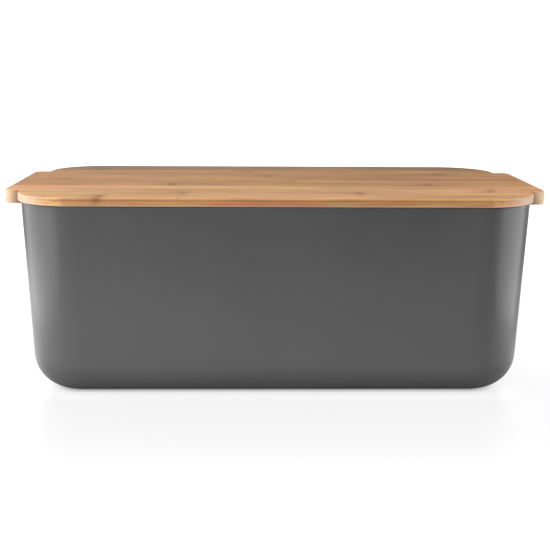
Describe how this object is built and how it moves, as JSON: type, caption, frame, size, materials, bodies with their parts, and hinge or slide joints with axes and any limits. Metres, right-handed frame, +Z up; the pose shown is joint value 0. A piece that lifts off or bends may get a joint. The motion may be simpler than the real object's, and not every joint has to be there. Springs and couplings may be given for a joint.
{
  "type": "bread bin",
  "caption": "Deep round-cornered storage tub with slightly tapered walls and a lift-off wooden board lid with a flat grip tab at each end.",
  "frame": {"origin": "centre of the tub's flat base, on the surface that the bin stands on", "axes": "+X along the bin's length, from the left tab to the right tab; -Y is the front long side; +Z up"},
  "size_m": [0.362, 0.2, 0.133],
  "materials": {
    "tub_plastic": "satin moulded, neutral dark grey",
    "bamboo_light": "sanded and oiled light bamboo, fine straight grain",
    "bamboo_dark": "sanded and oiled darker bamboo, fine straight grain"
  },
  "bodies": {
    "bin": {"tub": "tub_plastic"},
    "lid": {"lid_strip_01": "bamboo_light", "lid_strip_02": "bamboo_light", "lid_strip_03": "bamboo_light", "lid_strip_04": "bamboo_light", "lid_strip_05": "bamboo_dark", "lid_strip_06": "bamboo_dark", "lid_strip_07": "bamboo_dark", "lid_strip_08": "bamboo_dark", "lid_strip_09": "bamboo_dark", "lid_strip_10": "bamboo_dark", "lid_strip_11": "bamboo_dark", "lid_strip_12": "bamboo_dark"}
  },
  "joints": [
    {"name": "lid_lift", "type": "slide", "parent": "bin", "child": "lid", "axis": [0, 0, 1], "range_m": [0, 0.08]}
  ]
}
